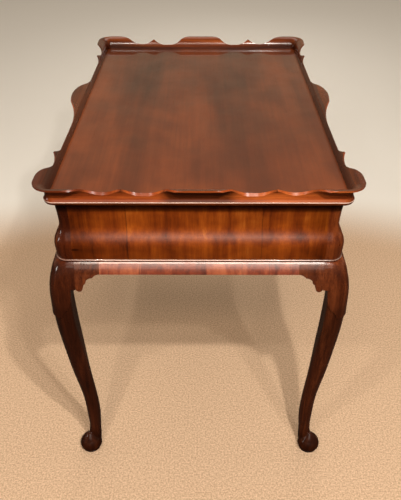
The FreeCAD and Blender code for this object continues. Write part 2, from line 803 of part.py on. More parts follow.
def add_foot(body):
    """A turned pad foot on a thin sole, set forward of the ankle."""
    profile = new_sketch(body, "XZ_Plane", "foot", "-foot_inset")
    corners = [
        ("0", "0"), ("sole_radius", "0"), ("sole_radius", "sole_height"),
        ("quirk_radius", "quirk_level"), ("pad_radius", "pad_level"),
        ("pad_shoulder_radius", "pad_shoulder_level"), ("pad_top_radius", "pad_top_level"),
        ("0", "(pad_top_level + pad_tip_rise)"),
    ]
    lower = arc_radius("(pad_radius - quirk_radius)", "(pad_level - quirk_level)")
    upper = arc_radius("(pad_radius - pad_shoulder_radius)",
                       "(pad_shoulder_level - pad_level)")
    tip = arc_radius("pad_tip_rise", "pad_top_radius")
    bends = {3: (lower, +1), 4: (upper, +1), 5: ("pad_crown", +1), 6: (tip, +1)}
    draw_outline(profile, [(f"(foot_inset + {out})", up) for out, up in corners], bends)
    draw_axis(profile, "foot_inset", "0", "pad_top_level")
    turn(body, profile, 360.0)


def cut_mortises(body):
    """One angled mortise for the two frieze tenons and one for the two rail tenons."""
    near = "(tenon_inset - tenon_clearance)"
    far = "(tenon_inset + tenon_thickness + tenon_clearance)"
    past = f"(joint_inset + {OVERRUN})"
    corners = [(near, near), (past, near), (past, far), (far, far), (far, past), (near, past)]
    for name, foot, height in (("frieze", FRIEZE_TENON_FOOT, FRIEZE_TENON_HEIGHT),
                               ("rail", RAIL_TENON_FOOT, RAIL_TENON_HEIGHT)):
        mortise = new_sketch(body, "XY_Plane", f"mortise_{name}",
                             f"({foot} + {height} + tenon_clearance)")
        draw_outline(mortise, corners)
        cut(body, mortise, f"({height} + 2 * tenon_clearance)")


def make_leg(corner):
    body = new_body(f"leg_{corner}")
    add_stile(body)
    add_knee(body)
    add_shaft(body)
    add_foot(body)
    cut_mortises(body)
    finish_corner(body, corner)


def make_bracket(corner, run, name):
    """A shaped bracket beside a knee, carrying the rail's moulding down to the leg.

    `run` is the inset that the bracket runs along: "X" or "Y" in the corner's frame.
    """
    body = new_body(f"knee_bracket_{corner}_{name}")
    section_plane, outline_plane = ("YZ_Plane", "XZ_Plane") if run == "X" else \
                                   ("XZ_Plane", "YZ_Plane")
    lift = "joint_inset" if run == "X" else "-joint_inset"
    section = new_sketch(body, section_plane, "section", lift)
    back = [("core_face_inset", KNEE_SWELL), ("core_face_inset", RAIL_TOP)]
    draw_outline(section, *joined(knee_face(), (back, {})))
    pad(body, section, "(bracket_reach - joint_inset)", reverse=(run == "Y"))
    edge = new_sketch(body, outline_plane, "edge")
    below = f"({KNEE_SWELL} - {OVERRUN})"
    past = f"(bracket_reach + {OVERRUN})"
    corners = [
        (past, RAIL_FOOT), ("bracket_reach", RAIL_FOOT),
        ("bracket_arris", f"({RAIL_FOOT} - bracket_arris_drop)"),
        ("bracket_shelf", f"({RAIL_FOOT} - bracket_shelf_drop)"),
        ("bracket_step", f"({RAIL_FOOT} - bracket_step_drop)"),
        ("bracket_lobe", f"({RAIL_FOOT} - bracket_lobe_drop)"),
        ("bracket_lobe_middle", f"({RAIL_FOOT} - bracket_drop)"),
        ("bracket_notch", f"({RAIL_FOOT} - bracket_notch_drop)"),
        ("joint_inset", SHOULDER), (f"(joint_inset - {OVERRUN})", SHOULDER),
        (f"(joint_inset - {OVERRUN})", below), (past, below),
    ]
    bends = {1: ("bracket_outer_cove", +1), 2: ("bracket_inner_cove", +1),
             3: ("bracket_nose", -1), 5: ("bracket_lobe_round", -1),
             6: ("bracket_notch_round", -1)}
    draw_outline(edge, corners, bends)
    cut(body, edge, f"{4 * OVERRUN} + 2 * joint_inset", symmetric=True)
    finish_corner(body, corner)


# --- inside the frame ----------------------------------------------------------------------

def make_cross_bearer(row, name):
    """A bearer across the case, housed in the two long frieze cores, that holds the board."""
    body = new_body(f"cross_bearer_{name}")
    half = "(overall_width / 2 - core_back_inset + bearer_housing)"
    middle = f"({row} * bearer_spacing / 2)"
    near, far = f"({middle} - bearer_width / 2)", f"({middle} + bearer_width / 2)"
    plan = new_sketch(body, "XY_Plane", "plan", CASE_TOP)
    draw_outline(plan, [(f"-{half}", near), (half, near), (half, far), (f"-{half}", far)])
    pad(body, plan, "bearer_thickness", reverse=True)
    own_places = [place for place in SCREW_PLACES if f"({row} *" in place[1]]
    holes = new_sketch(body, "XY_Plane", "screw_holes", CASE_TOP)
    draw_screw_circles(holes, "(screw_shank / 2 + screw_clearance)", own_places)
    cut(body, holes, "bearer_thickness")
    for number, (across, along) in enumerate(own_places):
        sink = new_sketch(body, "XZ_Plane", f"countersink_{number}", f"-{along}")
        foot = f"({CASE_TOP} - bearer_thickness)"
        rim = "(screw_head / 2 + screw_clearance)"
        shank = "(screw_shank / 2 + screw_clearance)"
        draw_outline(sink, [(across, foot), (f"({across} + {rim})", foot),
                            (f"({across} + {shank})", f"({foot} + screw_head_depth)"),
                            (across, f"({foot} + screw_head_depth)")])
        draw_axis(sink, across, foot, CASE_TOP)
        groove = body.newObject("PartDesign::Groove", f"{sink.Name}_groove")
        groove.Profile = sink
        groove.ReferenceAxis = (sink, ["Axis0"])
        groove.Angle = 360.0
        body.Tip = groove
    PARTS.append(body)


def make_screws():
    """Countersunk screws up through the bearers into the tray board, as one group."""
    body = new_body("board_screws", several=True)
    foot = f"({CASE_TOP} - bearer_thickness)"
    for number, (across, along) in enumerate(SCREW_PLACES):
        profile = new_sketch(body, "XZ_Plane", f"screw_{number}", f"-{along}")
        radius = "(screw_shank / 2)"
        corners = [
            (across, foot), (f"({across} + screw_head / 2)", foot),
            (f"({across} + {radius})", f"({foot} + screw_head_depth)"),
            (f"({across} + {radius})", f"({foot} + screw_length - screw_point)"),
            (across, f"({foot} + screw_length)"),
        ]
        draw_outline(profile, corners)
        draw_axis(profile, across, foot, BOARD_TOP)
        turn(body, profile, 360.0)
    PARTS.append(body)


def make_top_blocks():
    """Glue blocks rubbed into the angle between the frieze and the underside of the board."""
    body = new_body("top_glue_blocks", several=True)
    plan = new_sketch(body, "XY_Plane", "plan", CASE_TOP)
    last = "(joint_inset + corner_block_reach + block_gap + block_length / 2)"
    for sign in ("-", ""):
        for shift in (-1, 0, 1):
            wall = f"({sign}(overall_width / 2 - core_back_inset))"
            inner = f"({sign}(overall_width / 2 - core_back_inset - block_section))"
            middle = f"({shift} * (overall_length / 2 - {last}))"
            near, far = f"({middle} - block_length / 2)", f"({middle} + block_length / 2)"
            draw_outline(plan, [(wall, near), (inner, near), (inner, far), (wall, far)])
        for shift in (-1, 1):
            wall = f"({sign}(overall_length / 2 - core_back_inset))"
            inner = f"({sign}(overall_length / 2 - core_back_inset - block_section))"
            middle = f"({shift} * (overall_width / 2 - {last}))"
            near, far = f"({middle} - block_length / 2)", f"({middle} + block_length / 2)"
            draw_outline(plan, [(near, wall), (near, inner), (far, inner), (far, wall)])
    pad(body, plan, "block_section", reverse=True)
    PARTS.append(body)


def make_corner_blocks():
    """Upright glue blocks behind the four stiles."""
    body = new_body("corner_glue_blocks", several=True)
    plan = new_sketch(body, "XY_Plane", "plan", f"({FRIEZE_FOOT} + corner_block_gap)")
    for across_sign in ("-", ""):
        for along_sign in ("-", ""):
            def spot(across, along):
                return (f"({across_sign}(overall_width / 2 - joint_inset - {across}))",
                        f"({along_sign}(overall_length / 2 - joint_inset - {along}))")
            draw_outline(plan, [
                spot("0", "0"), spot("corner_block_reach", "0"),
                spot("corner_block_reach", "corner_block_nose"),
                spot("corner_block_nose", "corner_block_reach"),
                spot("0", "corner_block_reach")])
    pad(body, plan, "(frieze_height - 2 * corner_block_gap)")
    PARTS.append(body)


# --- the table -----------------------------------------------------------------------------

make_tray_board()
for side_name, (side_length, _, _, _) in SIDES.items():
    make_gallery(side_name, "end" if side_length == "overall_width" else "side")
    make_frieze_core(side_name)
    make_frieze_veneer(side_name)
    make_bead(side_name)
    make_rail_core(side_name)
    make_rail_moulding(side_name)
for corner_name, (_, _, quarter) in CORNERS.items():
    make_leg(corner_name)
    along_x, along_y = ("end", "side") if quarter in (0, 180) else ("side", "end")
    make_bracket(corner_name, "X", along_x)
    make_bracket(corner_name, "Y", along_y)
make_cross_bearer(-1, "front")
make_cross_bearer(1, "rear")
make_screws()
make_top_blocks()
make_corner_blocks()
doc.recompute()

for item in doc.Objects:
    if "Invalid" in item.State or "Error" in item.State:
        raise RuntimeError(f"{item.Name} did not build: {item.State}")
for part in PARTS:
    if part.Shape.isNull() or not part.Shape.isValid() or not part.Shape.Solids:
        raise RuntimeError(f"{part.Label} has no valid solid")

os.makedirs("parts", exist_ok=True)
for part in PARTS:
    part.Shape.exportStep(f"parts/{part.Label}.step")
    box = part.Shape.BoundBox
    print(f"{part.Label:38s} {len(part.Shape.Solids):2d} solids {part.Shape.Volume / 1000:9.1f} cm3"
          f"  x {box.XMin:7.1f} {box.XMax:7.1f}  y {box.YMin:7.1f} {box.YMax:7.1f}"
          f"  z {box.ZMin:6.1f} {box.ZMax:6.1f}")
print(f"{len(PARTS)} nodes")
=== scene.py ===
"""The looks of a tray top tea table: polished mahogany, crossbanded veneers and pine inside."""
import bpy
import math
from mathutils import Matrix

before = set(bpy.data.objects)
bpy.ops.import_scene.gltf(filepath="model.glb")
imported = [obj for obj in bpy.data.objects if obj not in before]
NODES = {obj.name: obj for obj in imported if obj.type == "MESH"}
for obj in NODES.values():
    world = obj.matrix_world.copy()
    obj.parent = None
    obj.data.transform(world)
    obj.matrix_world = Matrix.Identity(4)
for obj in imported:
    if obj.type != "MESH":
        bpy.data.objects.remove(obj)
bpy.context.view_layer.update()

X, Y, Z = range(3)


# --- materials -----------------------------------------------------------------------------

class Wire:
    """The output of a node, which adds Math nodes when it is used in arithmetic."""

    def __init__(self, tree, socket):
        self.tree = tree
        self.socket = socket

    def math(self, operation, *others):
        node = self.tree.nodes.new("ShaderNodeMath")
        node.operation = operation
        for place, value in enumerate(others):
            feed(self.tree, node.inputs[place], value)
        return Wire(self.tree, node.outputs[0])

    def __add__(self, other):
        return self.math("ADD", self, other)

    def __radd__(self, other):
        return self.math("ADD", other, self)

    def __sub__(self, other):
        return self.math("SUBTRACT", self, other)

    def __rsub__(self, other):
        return self.math("SUBTRACT", other, self)

    def __mul__(self, other):
        return self.math("MULTIPLY", self, other)

    def __rmul__(self, other):
        return self.math("MULTIPLY", other, self)

    def __abs__(self):
        return self.math("ABSOLUTE", self)


def feed(tree, socket, value):
    """Links a wire to a socket, or sets the socket to a plain value."""
    if isinstance(value, Wire):
        tree.links.new(value.socket, socket)
    elif hasattr(value, "__len__") and len(socket.default_value) == 4:
        socket.default_value = (*value, 1.0)
    else:
        socket.default_value = value


class Finish:
    """A material, built node by node up to its one shader."""

    def __init__(self, name):
        self.material = bpy.data.materials.new(name)
        self.material.use_nodes = True
        self.tree = self.material.node_tree
        self.tree.nodes.clear()
        self.place = self.add("TexCoord", output="Object")

    def add(self, kind, settings=None, sockets=None, output=0):
        """A node of that kind: its settings first, then the values or wires of its sockets."""
        node = self.tree.nodes.new("ShaderNode" + kind)
        for name, value in (settings or {}).items():
            if name == "stops":
                for number, (at, colour) in enumerate(value):
                    stops = node.color_ramp.elements
                    stop = stops[number] if number < 2 else stops.new(at)
                    stop.position, stop.color = at, (*colour, 1.0)
            elif name == "steps":
                node.color_ramp.interpolation = value
            else:
                setattr(node, name, value)
        for name, value in (sockets or {}).items():
            feed(self.tree, node.inputs[name], value)
        return Wire(self.tree, node.outputs[output])

    def axis(self, number):
        """One of the object's own coordinates, in metres."""
        return self.add("SeparateXYZ", {}, {"Vector": self.place}, output=number)

    def facing(self, number):
        """One of the coordinates of the direction that the surface faces."""
        return self.add("SeparateXYZ", {}, {"Vector": self.add("NewGeometry", output="Normal")},
                        output=number)

    def vector(self, operation, first, second, output=0):
        return self.add("VectorMath", {"operation": operation}, {0: first, 1: second},
                        output=output)

    def length(self, vector):
        return self.add("VectorMath", {"operation": "LENGTH"}, {0: vector}, output="Value")

    def stretched(self, scale, shift=(0.0, 0.0, 0.0)):
        """The object's own coordinates, scaled by the cycles per metre along each axis."""
        return self.add("VectorMath", {"operation": "MULTIPLY_ADD"},
                        {0: self.place, 1: scale, 2: shift})

    def noise(self, place, detail=3.0, roughness=0.55, distortion=0.0):
        return self.add("TexNoise", {}, {"Vector": place, "Scale": 1.0, "Detail": detail,
                                         "Roughness": roughness, "Distortion": distortion})

    def spread(self, value, low, high, start=0.0, finish=1.0):
        """The value, with low to high carried smoothly to start to finish and held beyond."""
        return self.add("MapRange", {"interpolation_type": "SMOOTHSTEP"},
                        {"Value": value, "From Min": low, "From Max": high,
                         "To Min": start, "To Max": finish})

    def line(self, number, middle, core, edge):
        """A fine line across one axis: whole within the core and gone past the edge."""
        return self.spread(abs(self.axis(number) - middle), core, edge, 1.0, 0.0)

    def ramp(self, value, stops, steps="LINEAR"):
        """A colour looked up between stops; its first two stops are the two ends."""
        return self.add("ValToRGB", {"stops": stops, "steps": steps}, {"Fac": value})

    def blend(self, share, first, second):
        """Two colours mixed by a share."""
        return self.add("Mix", {"data_type": "RGBA"}, {0: share, 6: first, 7: second}, output=2)

    def bump(self, height, distance, strength):
        return self.add("Bump", {}, {"Height": height, "Distance": distance,
                                     "Strength": strength})

    def shader(self, sockets):
        node = self.add("BsdfPrincipled", {}, sockets)
        finish = self.tree.nodes.new("ShaderNodeOutputMaterial")
        self.tree.links.new(node.socket, finish.inputs["Surface"])
        return self.material


# Heights on the table, in metres.
FOOT_DUSK = (0.030, 0.070)
SHAFT_DUSK = (0.30, 0.41)
LAPPET_TIPS = (0.452, 0.470)
STILE_FOOT = (0.548, 0.556)
BEAD_CROWN = 0.5597
NOSING_SHADE = (0.6595, 0.6530)
LIP_ARRIS = 0.6836
END_GALLERY_FOOT = (0.673, 0.696)
SIDE_GALLERY_FOOT = (0.684, 0.706)
LOWEST_CREST = (0.693, 0.697)
LOBE_COVE_TOP = (0.703, 0.711)


# Masks, each from 0 to 1 over a surface.

def inner_side(f):
    """The faces of a gallery that look towards the middle of the tray."""
    outwards = f.vector("MULTIPLY", f.place, (1.0, 1.0, 0.0))
    share = f.vector("DOT_PRODUCT", outwards, f.add("NewGeometry", output="Normal"),
                     output="Value")
    return f.spread(share, 0.06, 0.20, 1.0, 0.0)


def under_lobes(f, axis, lobe, corner):
    """Painted shadow in the outer cove of a gallery, below its middle and corner lobes."""
    place = abs(f.axis(axis))
    sheltered = (f.spread(place, lobe, lobe + 0.03, 1.0, 0.0)
                 + f.spread(place, corner, corner + 0.02))
    return (1.0 - inner_side(f)) * sheltered * f.spread(f.axis(Z), *LOBE_COVE_TOP, 0.75, 0.0)


def end_gallery_shade(f):
    """Painted shade at the inner foot of an end gallery and in its corners, with the painted
    shadow under its lobes.
    """
    foot = f.spread(f.axis(Z) - abs(f.axis(X)) * 0.09, *END_GALLERY_FOOT, 0.85, 0.0)
    return inner_side(f) * foot + under_lobes(f, X, 0.045, 0.245)


def side_gallery_shade(f):
    """Painted shade at the inner foot of a side gallery and in its corners, with the painted
    shadow under its lobes.
    """
    foot = f.spread(f.axis(Z) - abs(f.axis(Y)) * 0.02, *SIDE_GALLERY_FOOT, 0.92, 0.0)
    return inner_side(f) * foot + under_lobes(f, Y, 0.09, 0.385)


def crest_highlight(f):
    """The outer half of the rounded crest of a gallery, painted paler as a highlight."""
    high = f.spread(f.axis(Z), *LOWEST_CREST)
    return (1.0 - inner_side(f)) * f.spread(f.facing(Z), 0.68, 0.90) * high


def lip_highlight(f):
    """The upper arris of the tray's lip, where a pale highlight is painted."""
    return f.line(Z, LIP_ARRIS, 0.0004, 0.0011)


def bead_highlight(f):
    """The crown of the bead over the rail, where a pale highlight is painted, strongest in its
    middle.
    """
    return (f.line(Z, BEAD_CROWN, 0.0005, 0.0011)
            * f.spread(abs(f.axis(X)), 0.150, 0.245, 1.0, 0.35))


def frieze_end_shade(f):
    """Painted shade towards the two ends of a frieze."""
    return f.spread(abs(f.axis(X)), 0.150, 0.238, 0.0, 0.42)


def stile(f):
    """The square head of a leg, beside the frieze."""
    return f.spread(f.axis(Z), *STILE_FOOT)


def stile_flats(f):
    """The flat faces of a stile, without its rounded corner."""
    return stile(f) * f.spread(abs(f.facing(X) * f.facing(Y)), 0.05, 0.30, 1.0, 0.0)


def below_lappet_shade(f):
    """Painted shade on the upper shaft of a leg, below its lappet."""
    return (f.spread(f.axis(Z), *SHAFT_DUSK, 0.0, 0.32)
            * f.spread(f.axis(Z), *LAPPET_TIPS, 1.0, 0.0))


def leaves(f, axis, joints, tones):
    """Veneer leaves laid edge to edge: the tone of each, and the fine dark line of each joint."""
    reach = 0.45
    position = (f.axis(axis) + reach) * (0.5 / reach)
    edges = [0.0] + [(joint + reach) * 0.5 / reach for joint in joints]
    stops = [(at, (tone, tone, tone)) for at, tone in zip(edges, tones)]
    tone = f.ramp(position, stops, "CONSTANT")
    joint_lines = 0.0
    for joint in joints:
        joint_lines = joint_lines + f.line(axis, joint, 0.0002, 0.0007)
    return tone, joint_lines


def along(axis, length_wise, cross_wise):
    """Frequencies that are low along the grain's axis and high across it."""
    return tuple(length_wise if place == axis else cross_wise for place in range(3))


MIDDLE = 0.5            # the middle of a noise, and of a tone
TONE_REACH = 3.6        # how far the figure reaches between the darkest and palest tone
BROAD_SHARE, STREAK_SHARE, FIBRE_SHARE = 0.42, 0.40, 0.18
MOTTLE_SHARE, LEAF_SHARE = 0.8, 0.9
PATINA = 0.30           # how much old polish darkens the wood in patches
FIBRE_RELIEF = 0.00005  # metres
# The pale tone of the painted highlights on arrises, crowns and crests.
HIGHLIGHT_TONE = (0.62, 0.42, 0.34)


def polished_wood(name, grain, tones, seed, figure=(1.6, 11.0), contrast=1.0, pores=0.35,
                  stripe=1.0, mottle=None, veneer=None, other=None, marks=(), painted_shade=None,
                  dusk=(), painted_highlight=None, dull=None, satin=(0.22, 0.34), shine=1.0, mirror=0.05,
                  gloss=0.12):
    """Old polished wood, its grain along one axis.

    The figure has so many cycles per metre along and across the grain. Contrast weighs all of
    it, stripe its fine stripes and pores its open pores. Over it may come mottle (cycles per
    metre), veneer leaves (axis, joints, tones), other tones under a mask, marks (centre, size,
    depth), a mask of painted shade, darker bands of height (low, high, ragged, depth) such as a
    painted shadow, a mask of painted highlight with its depth, and a dull mask with its depth.
    Satin is the wood's own range of roughness and gloss its shine, and shine and mirror are the
    weight and the roughness of the polish over it.
    """
    f = Finish(name)
    shift = (seed, seed * 1.7, seed * 2.3)
    broad = f.noise(f.stretched(along(grain, *figure), shift), detail=2.0, distortion=0.8)
    streaks = f.noise(f.stretched(along(grain, 3.0, 110.0), shift), detail=4.0, roughness=0.62)
    fibres = f.noise(f.stretched(along(grain, 14.0, 700.0), shift), detail=2.0)
    stripes = (streaks - MIDDLE) * STREAK_SHARE + (fibres - MIDDLE) * FIBRE_SHARE
    tone = (((broad - MIDDLE) * BROAD_SHARE + stripes * stripe) * (TONE_REACH * contrast)
            + MIDDLE)
    if mottle:
        waves = f.noise(f.stretched(mottle, shift), detail=2.0, roughness=0.5, distortion=0.5)
        tone = tone + (waves - MIDDLE) * MOTTLE_SHARE
    if veneer:
        leaf, joint_lines = leaves(f, *veneer)
        tone = tone + (leaf - MIDDLE) * LEAF_SHARE
    colour = f.ramp(tone, tones)
    if other:
        where, other_tones = other
        colour = f.blend(where(f), colour, f.ramp(tone, other_tones))

    open_pores = f.spread(f.noise(f.stretched(along(grain, 70.0, 1600.0), shift), detail=1.0),
                          0.60, 0.74)
    darkest = tones[0][1]
    deepest = tuple(part * 0.30 for part in darkest)
    colour = f.blend(open_pores * pores, colour, deepest)
    patches = f.noise(f.stretched((6.0, 6.0, 6.0), shift), detail=4.0, roughness=0.65)
    colour = f.blend(f.spread(patches, 0.38, 0.66, 0.0, PATINA), colour, darkest)
    if veneer:
        colour = f.blend(joint_lines * 0.75, colour, deepest)
    for centre, size, depth in marks:
        away = f.length(f.vector("DIVIDE", f.vector("SUBTRACT", f.place, centre), size))
        mark = f.spread(away + (streaks - MIDDLE), 0.5, 1.1, depth, 0.0)
        colour = f.blend(mark, colour, deepest)
    # Painted shade, blended towards the darkest tone.
    if painted_shade:
        colour = f.blend(painted_shade(f), colour, deepest)

    coat_share = 1.0
    if dull:
        where, depth = dull
        coat_share = 1.0 - where(f) * depth
    # Darker bands of height, which also thin the polish; the band below the tray's nosing is a
    # painted shadow.
    for low, high, ragged, depth in dusk:
        darker_band = f.spread(f.axis(Z) + (patches - MIDDLE) * ragged, low, high, depth, 0.0)
        colour = f.blend(darker_band, colour, deepest)
        coat_share = coat_share * (1.0 - darker_band)
    # Painted highlights, in a pale tone, along arrises, crowns and crests.
    if painted_highlight:
        where, depth = painted_highlight
        colour = f.blend(where(f) * f.spread(patches, 0.2, 0.5, 0.5, depth), colour, HIGHLIGHT_TONE)

    rubbed = f.noise(f.stretched((14.0, 14.0, 14.0), shift), detail=5.0, roughness=0.65)
    scratches = f.spread(f.noise(f.stretched(along(grain, 25.0, 480.0), (seed * 3.1, 0.0, 7.0)),
                                 detail=1.0, distortion=1.5), 0.68, 0.74)
    relief = fibres * 0.4 - open_pores - scratches * 0.5
    return f.shader({"Base Color": colour,
                     "Roughness": f.spread(rubbed, 0.30, 0.72, *satin) + scratches * 0.12,
                     "Normal": f.bump(relief, FIBRE_RELIEF, 0.4),
                     "Coat Weight": f.spread(rubbed, 0.25, 0.65, shine, shine * 0.8) * coat_share,
                     "Coat Roughness": mirror, "Coat IOR": 1.5, "IOR": 1.45,
                     "Specular IOR Level": gloss})


# Tones of the woods: the darkest, the palest, then those between.
TRAY_TONES = [(0.0, (0.036, 0.006, 0.001)), (1.0, (0.202, 0.042, 0.008)),
              (0.5, (0.102, 0.0190, 0.003))]
# The galleries take paler tones on their outer faces and darker ones on their inner faces:
# painted light and shade by the way a face turns, on one wood.
OUTER_LIT_TONES = [(0.0, (0.080, 0.012, 0.003)), (1.0, (0.440, 0.100, 0.018)),
                 (0.5, (0.235, 0.042, 0.008))]
INNER_SHADED_TONES = [(0.0, (0.024, 0.004, 0.001)), (1.0, (0.190, 0.042, 0.008)),
               (0.5, (0.080, 0.0155, 0.003))]
# The rear gallery takes paler tones than the other inner faces: painted light on its inner face.
REAR_LIT_TONES = [(0.0, (0.050, 0.009, 0.002)), (1.0, (0.360, 0.085, 0.016)),
              (0.5, (0.170, 0.034, 0.008))]
FRIEZE_TONES = [(0.0, (0.052, 0.008, 0.001)), (1.0, (0.380, 0.101, 0.012)),
                (0.35, (0.148, 0.0245, 0.002)), (0.7, (0.255, 0.0510, 0.004))]
RAIL_TONES = [(0.0, (0.080, 0.012, 0.004)), (1.0, (0.420, 0.110, 0.040)),
              (0.5, (0.220, 0.038, 0.012))]
LEG_TONES = [(0.0, (0.020, 0.0038, 0.0013)), (1.0, (0.150, 0.035, 0.010)),
             (0.5, (0.058, 0.0115, 0.0033))]
STILE_TONES = [(0.0, (0.030, 0.0045, 0.0013)), (1.0, (0.190, 0.042, 0.009)),
               (0.5, (0.082, 0.0145, 0.0032))]
PINE_TONES = [(0.0, (0.30, 0.16, 0.07)), (1.0, (0.58, 0.38, 0.19)), (0.5, (0.45, 0.27, 0.12))]

# Veneer leaves: the axis they lie along, where they join, in metres, and the tone of each.
# The end frieze's leaves differ in tone; the left leaf is darker still, as painted shade.
FRIEZE_END_LEAVES = (X, (-0.128, 0.112), (0.30, 0.56, 0.44))
RAIL_END_LEAVES = (X, (-0.1656, -0.1083, 0.011, 0.0782, 0.128, 0.1656),
                   (0.80, 0.66, 0.32, 0.66, 0.46, 0.38, 0.36))
SIDE_LEAVES = (Y, (-0.265, -0.13, 0.01, 0.15, 0.27), (0.40, 0.60, 0.45, 0.65, 0.50, 0.35))
# The right legs and brackets take paler tones than the left ones: painted light, on one wood.
LEGS_LIT_RIGHT = (X, (0.0,), (0.40, 0.66))
BRACKETS_LIT_RIGHT = (X, (0.0,), (0.62, 0.70))

# A painted shadow below the tray's nosing, on the frieze and the heads of the legs.
NOSING_SHADOW = (*NOSING_SHADE, 0.002, 0.78)
# The feet, darker towards the floor.
FOOT_DARKENING = (*FOOT_DUSK, 0.01, 0.60)
FRIEZE_SCAR = ((-0.222, -0.404, 0.583), (0.009, 0.02, 0.003), 0.8)

GALLERY_POLISH = dict(mirror=0.16, shine=0.8)
FRIEZE_POLISH = dict(figure=(4.0, 30.0), mottle=(16.0, 16.0, 30.0), stripe=0.85, contrast=0.8,
                     satin=(0.34, 0.46), shine=0.8, mirror=0.30, dusk=[NOSING_SHADOW])
RAIL_POLISH = dict(figure=(6.0, 40.0), mirror=0.08, gloss=0.9, satin=(0.36, 0.46))
BEAD_POLISH = dict(mirror=0.08, gloss=0.5, painted_highlight=(bead_highlight, 0.8))
BARE = dict(satin=(0.6, 0.8), shine=0.0)

tray_wood = polished_wood("tray_mahogany", Y, TRAY_TONES, 3.1, figure=(1.2, 7.0),
                          contrast=1.3, mottle=(10.0, 6.0, 10.0), pores=0.15, stripe=0.2,
                          satin=(0.30, 0.42), mirror=0.03, painted_highlight=(lip_highlight, 1.0))
gallery_wood_x = polished_wood("gallery_mahogany_end", X, OUTER_LIT_TONES, 11.3,
                               other=(inner_side, INNER_SHADED_TONES), painted_shade=end_gallery_shade,
                               painted_highlight=(crest_highlight, 0.60), **GALLERY_POLISH)
gallery_wood_y = polished_wood("gallery_mahogany_side", Y, OUTER_LIT_TONES, 12.9,
                               other=(inner_side, INNER_SHADED_TONES), painted_shade=side_gallery_shade,
                               painted_highlight=(crest_highlight, 0.30), **GALLERY_POLISH)
gallery_wood_rear = polished_wood("gallery_mahogany_rear", X, REAR_LIT_TONES, 13.7, mirror=0.16,
                                  shine=0.6, painted_shade=end_gallery_shade)
frieze_wood_x = polished_wood("frieze_veneer_end", Z, FRIEZE_TONES, 21.7,
                              veneer=FRIEZE_END_LEAVES, painted_shade=frieze_end_shade,
                              dull=(frieze_end_shade, 2.2), marks=[FRIEZE_SCAR], **FRIEZE_POLISH)
frieze_wood_y = polished_wood("frieze_veneer_side", Z, FRIEZE_TONES, 24.1,
                              veneer=SIDE_LEAVES, **FRIEZE_POLISH)
rail_wood_x = polished_wood("rail_crossbanding_end", Z, RAIL_TONES, 31.1,
                            veneer=RAIL_END_LEAVES, **RAIL_POLISH)
rail_wood_y = polished_wood("rail_crossbanding_side", Z, RAIL_TONES, 33.7,
                            veneer=SIDE_LEAVES, **RAIL_POLISH)
bead_wood_x = polished_wood("bead_mahogany_end", X, LEG_TONES, 15.7, **BEAD_POLISH)
bead_wood_y = polished_wood("bead_mahogany_side", Y, LEG_TONES, 17.1, **BEAD_POLISH)
leg_wood = polished_wood("leg_mahogany", Z, LEG_TONES, 41.9, figure=(2.4, 18.0),
                         veneer=LEGS_LIT_RIGHT, other=(stile, STILE_TONES),
                         painted_shade=below_lappet_shade, dusk=[FOOT_DARKENING, NOSING_SHADOW],
                         dull=(stile_flats, 0.8), mirror=0.09, gloss=0.22)
bracket_wood = polished_wood("bracket_mahogany", Z, LEG_TONES, 45.3, figure=(2.4, 18.0),
                             veneer=BRACKETS_LIT_RIGHT, mirror=0.18, gloss=0.4)
pine_x = polished_wood("pine_across", X, PINE_TONES, 51.3, **BARE)
pine_y = polished_wood("pine_along", Y, PINE_TONES, 52.7, **BARE)
pine_z = polished_wood("pine_upright", Z, PINE_TONES, 53.9, **BARE)


def screw_steel():
    f = Finish("screw_steel")
    rust = f.spread(f.noise(f.stretched((400.0, 400.0, 400.0)), detail=4.0), 0.45, 0.65)
    return f.shader({"Base Color": f.blend(rust, (0.30, 0.29, 0.27), (0.16, 0.09, 0.05)),
                     "Metallic": 1.0 - rust * 0.6, "Roughness": 0.35 + rust * 0.35})


steel = screw_steel()

# How a node's name starts, and its finish across the ends and along the sides.
FINISHES = {
    "tray_board": (tray_wood, tray_wood),
    "gallery_rear": (gallery_wood_rear, gallery_wood_rear),
    "gallery": (gallery_wood_x, gallery_wood_y),
    "bead": (bead_wood_x, bead_wood_y),
    "frieze_veneer": (frieze_wood_x, frieze_wood_y),
    "rail_moulding": (rail_wood_x, rail_wood_y),
    "knee_bracket": (bracket_wood, bracket_wood),
    "leg": (leg_wood, leg_wood),
    "board_screws": (steel, steel),
    "corner_glue_blocks": (pine_z, pine_z),
    "": (pine_x, pine_y),
}

for name, node in NODES.items():
    end_finish, side_finish = next(pair for start, pair in FINISHES.items()
                                   if name.startswith(start))
    for slot in node.material_slots:
        slot.material = end_finish if name.endswith(("front", "rear")) else side_finish


# --- floor, light and camera ---------------------------------------------------------------

NEAR_FLOOR = [(0.35, 0.225, 0.132), (0.78, 0.55, 0.37)]
FAR_FLOOR = (0.86, 0.82, 0.755)
DIM_FLOOR = (0.20, 0.14, 0.09)


def floor():
    """A plain floor with a fine pile: paler behind the table and dimmer far in front of it."""
    mesh = bpy.data.meshes.new("floor")
    reach = 12.0
    mesh.from_pydata([(-reach, -reach, 0), (reach, -reach, 0), (reach, reach, 0),
                      (-reach, reach, 0)], [], [(0, 1, 2, 3)])
    plane = bpy.data.objects.new("floor", mesh)
    bpy.context.scene.collection.objects.link(plane)
    f = Finish("floor_cloth")
    pile = f.noise(f.stretched((250.0, 250.0, 250.0)), detail=4.0, roughness=0.75)
    colour = f.blend(f.spread(pile, 0.26, 0.74), *NEAR_FLOOR)
    away = f.length(f.stretched((0.55, 1.0, 1.0), (0.0, 0.12, 0.0)))
    behind = f.spread(away, 0.60, 0.95) * f.spread(f.axis(Y), -0.3, 0.2)
    before = f.spread(f.axis(Y), -1.10, -0.58, 0.38, 0.0)
    colour = f.blend(before, f.blend(behind, colour, FAR_FLOOR), DIM_FLOOR)
    mesh.materials.append(f.shader({"Base Color": colour, "Roughness": 0.9}))
    plane.visible_diffuse = plane.visible_glossy = False


WARM = (1.0, 0.95, 0.88)
WARMER = (1.0, 0.85, 0.70)

